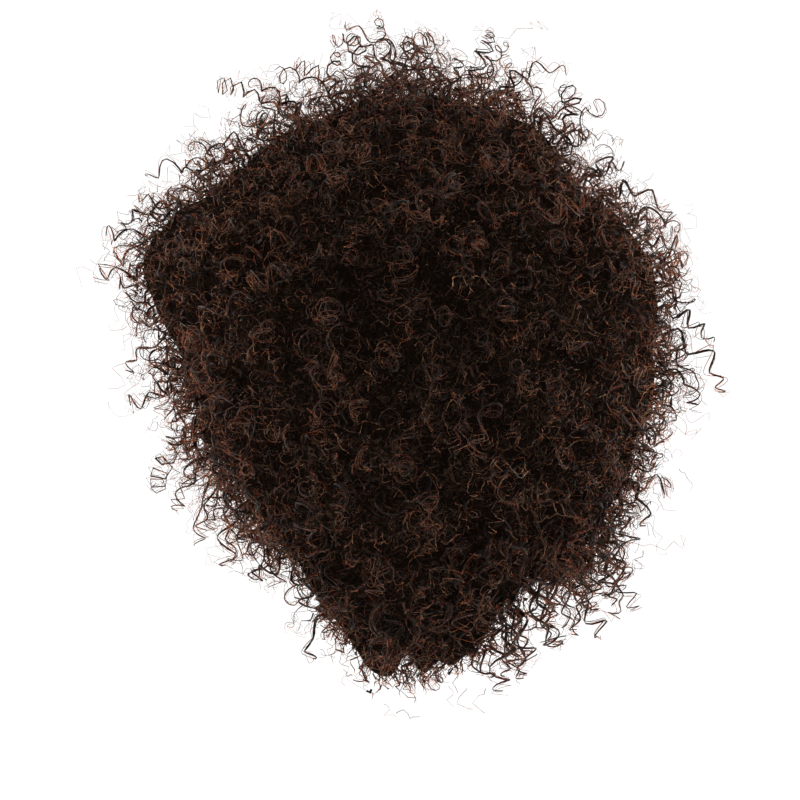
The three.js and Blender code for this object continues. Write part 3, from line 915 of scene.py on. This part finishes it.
# Points, faces and own attributes of the strands in one section, and a cell of the bake map for each strand.
# A face of the tube joins two sides at one point of the line to the same two at the next point.
def strandArrays(rings, tone, firstCell, cells):
    count, points, sides, _ = rings.shape
    ids = np.arange(count * points * sides).reshape(count, points, sides)
    nextSide = np.roll(ids, -1, axis=2)
    quads = np.stack([ids[:, :-1], nextSide[:, :-1], nextSide[:, 1:], ids[:, 1:]], -1)
    ends = np.stack([ids[:, 0, ::-1], ids[:, -1]], 1)
    along = np.broadcast_to(np.linspace(0, 1, points)[None, :, None], ids.shape)
    across = np.broadcast_to(np.array(acrossSides), ids.shape)
    columns = bake["columns"]
    rows = math.ceil(cells / columns)
    cell = firstCell + np.arange(count)
    left, low = (cell % columns) / columns, (cell // columns) / rows
    uStep = bake["wide"] / (points - 1) / columns
    vStep = bake["rowTall"] / rows
    u = left[:, None, None] + bake["left"] / columns + uStep * np.arange(points - 1)[None, :, None]
    v = low[:, None, None] + (bake["low"] + bake["rowStep"] * np.arange(sides)) / rows
    u, v = np.broadcast_arrays(u, v)
    around = [(u, v), (u, v + vStep), (u + uStep, v + vStep), (u + uStep, v)]
    quadUv = np.stack([np.stack(corner, -1) for corner in around], -2)
    endUv = np.array(bake["ends"])[None] / [columns, rows] + np.stack([left, low], -1)[:, None, None]
    return {
        "points": rings.reshape(-1, 3), "quads": quads.reshape(-1, 4), "triangles": ends.reshape(-1, 3),
        "along": along.ravel(), "across": across.ravel(), "tone": np.repeat(tone, points * sides),
        "quadUv": quadUv.reshape(-1, 2), "endUv": endUv.reshape(-1, 2),
    }


# Strands of all kinds in one section, joined to one mesh: a kind's faces count on from the last one's points.
def makeCurls(name, number, kinds, material):
    chosen = [(rings[index == number], tone[index == number]) for rings, tone, index in kinds]
    cells = sum(len(tone) for _, tone in chosen)
    parts, firstCell, firstPoint = [], 0, 0
    for rings, tone in chosen:
        part = strandArrays(rings, tone, firstCell, cells)
        part["quads"] = part["quads"] + firstPoint
        part["triangles"] = part["triangles"] + firstPoint
        firstCell += len(tone)
        firstPoint += len(part["points"])
        parts.append(part)
    joined = {label: np.concatenate([part[label] for part in parts]) for label in parts[0]}
    piece = makeMesh(
        name, joined["points"], joined["quads"], joined["triangles"],
        {label: joined[label] for label in ("along", "across", "tone")},
        np.concatenate([joined["quadUv"], joined["endUv"]]),
    )
    settle(piece, material, "hair")
    print(piece.name, cells, "strands", 2 * len(joined["quads"]) + len(joined["triangles"]), "triangles")


# Ringlets come in pairs, the strands and their strays; strays go with the fine kinds.
rng = np.random.default_rng(20)
bundles = growStrands(shortRinglets, rng) + growStrands(longRinglets, rng) + growHanging(rng)
thickKinds = bundles[0::2]
fineKinds = bundles[1::2] + growStrands(fineCurls, rng) + growStrands(flyaways, rng)
fineKinds = fineKinds + growFrizz(nearFrizz, rng) + growFrizz(looseFrizz, rng)
fineKinds = fineKinds + growHem(hemFrizz, rng) + growHem(hemTuftFrizz, rng) + growHem(innerFrizz, rng)
for number, section in enumerate(sections):
    makeCurls(section["name"] + "Ringlets", number, thickKinds, ringletMaterial)
    makeCurls(section["name"] + "Frizz", number, fineKinds, frizzMaterial)

# Camera at the back, level with the middle of the picture: 800 pixels span 520 mm at the wig.
view = {"mmPerPixel": 0.65, "crownPixel": (407, 257), "imagePixels": 800, "distance": 1.55, "sensorMm": 36}
metresPerPixel = view["mmPerPixel"] * metresPerMm
half = view["imagePixels"] / 2
aim = np.array([view["crownPixel"][0] - half, 0, view["crownPixel"][1] - half]) * metresPerPixel
cameraData = bpy.data.cameras.new("camera")
cameraData.sensor_width = view["sensorMm"]
cameraData.lens = view["sensorMm"] * view["distance"] / (view["imagePixels"] * metresPerPixel)
camera = bpy.data.objects.new("camera", cameraData)
camera.location = (aim[0], view["distance"], aim[2])
camera.rotation_euler = (math.radians(90), 0, math.radians(180))
bpy.context.scene.collection.objects.link(camera)
bpy.context.scene.camera = camera

# Soft studio light: an even bright room, a weak lamp behind the camera, and wide lamps at the sides, above
# and beyond the wig that shine through the loose curls.
studio = {"room": 1.06, "floor": "#fefefe", "floorRoughness": 0.7, "floorDrop": 1.3, "floorHalf": 8.0}
lamps = [
    {"name": "frontLamp", "watts": 3, "size": 1.6, "at": (0.5, 1.7, 1.3)},
    {"name": "leftLamp", "watts": 25, "size": 1.2, "at": (1.4, -0.5, 0.1)},
    {"name": "rightLamp", "watts": 25, "size": 1.2, "at": (-1.4, -0.5, 0.1)},
    {"name": "topLamp", "watts": 8, "size": 1.2, "at": (0.0, -0.3, 1.4)},
    {"name": "backLamp", "watts": 60, "size": 1.6, "at": (0.0, -1.6, 0.1)},
]
world = bpy.data.worlds.new("studioRoom")
world.use_nodes = True
background = world.node_tree.nodes["Background"]
background.inputs["Color"].default_value = (1, 1, 1, 1)
background.inputs["Strength"].default_value = studio["room"]
bpy.context.scene.world = world
bpy.context.scene.view_settings.view_transform = "Standard"
for lamp in lamps:
    lampData = bpy.data.lights.new(lamp["name"], "AREA")
    lampData.energy = lamp["watts"]
    lampData.size = lamp["size"]
    lampObject = bpy.data.objects.new(lamp["name"], lampData)
    lampObject.location = lamp["at"]
    toWig = np.array([0, 0, aim[2]]) - np.array(lamp["at"])
    tilt = math.acos(-toWig[2] / np.linalg.norm(toWig))
    lampObject.rotation_euler = (tilt, 0, math.atan2(-toWig[0], toWig[1]))
    bpy.context.scene.collection.objects.link(lampObject)

corners = np.array([[-1, -1], [1, -1], [1, 1], [-1, 1]]) * studio["floorHalf"] / metresPerMm
floorPoints = np.column_stack([corners, np.full(4, -studio["floorDrop"] / metresPerMm)])
floor = makeMesh("floor", floorPoints, np.array([[0, 1, 2, 3]]), np.zeros((0, 3), int))
floorMaterial, floorTree = newMaterial("paintedFloorWhite")
closeMaterial(floorTree, {"Base Color": linear(studio["floor"]), "Roughness": studio["floorRoughness"]})
floor.data.materials.append(floorMaterial)
print("camera, light and floor set")
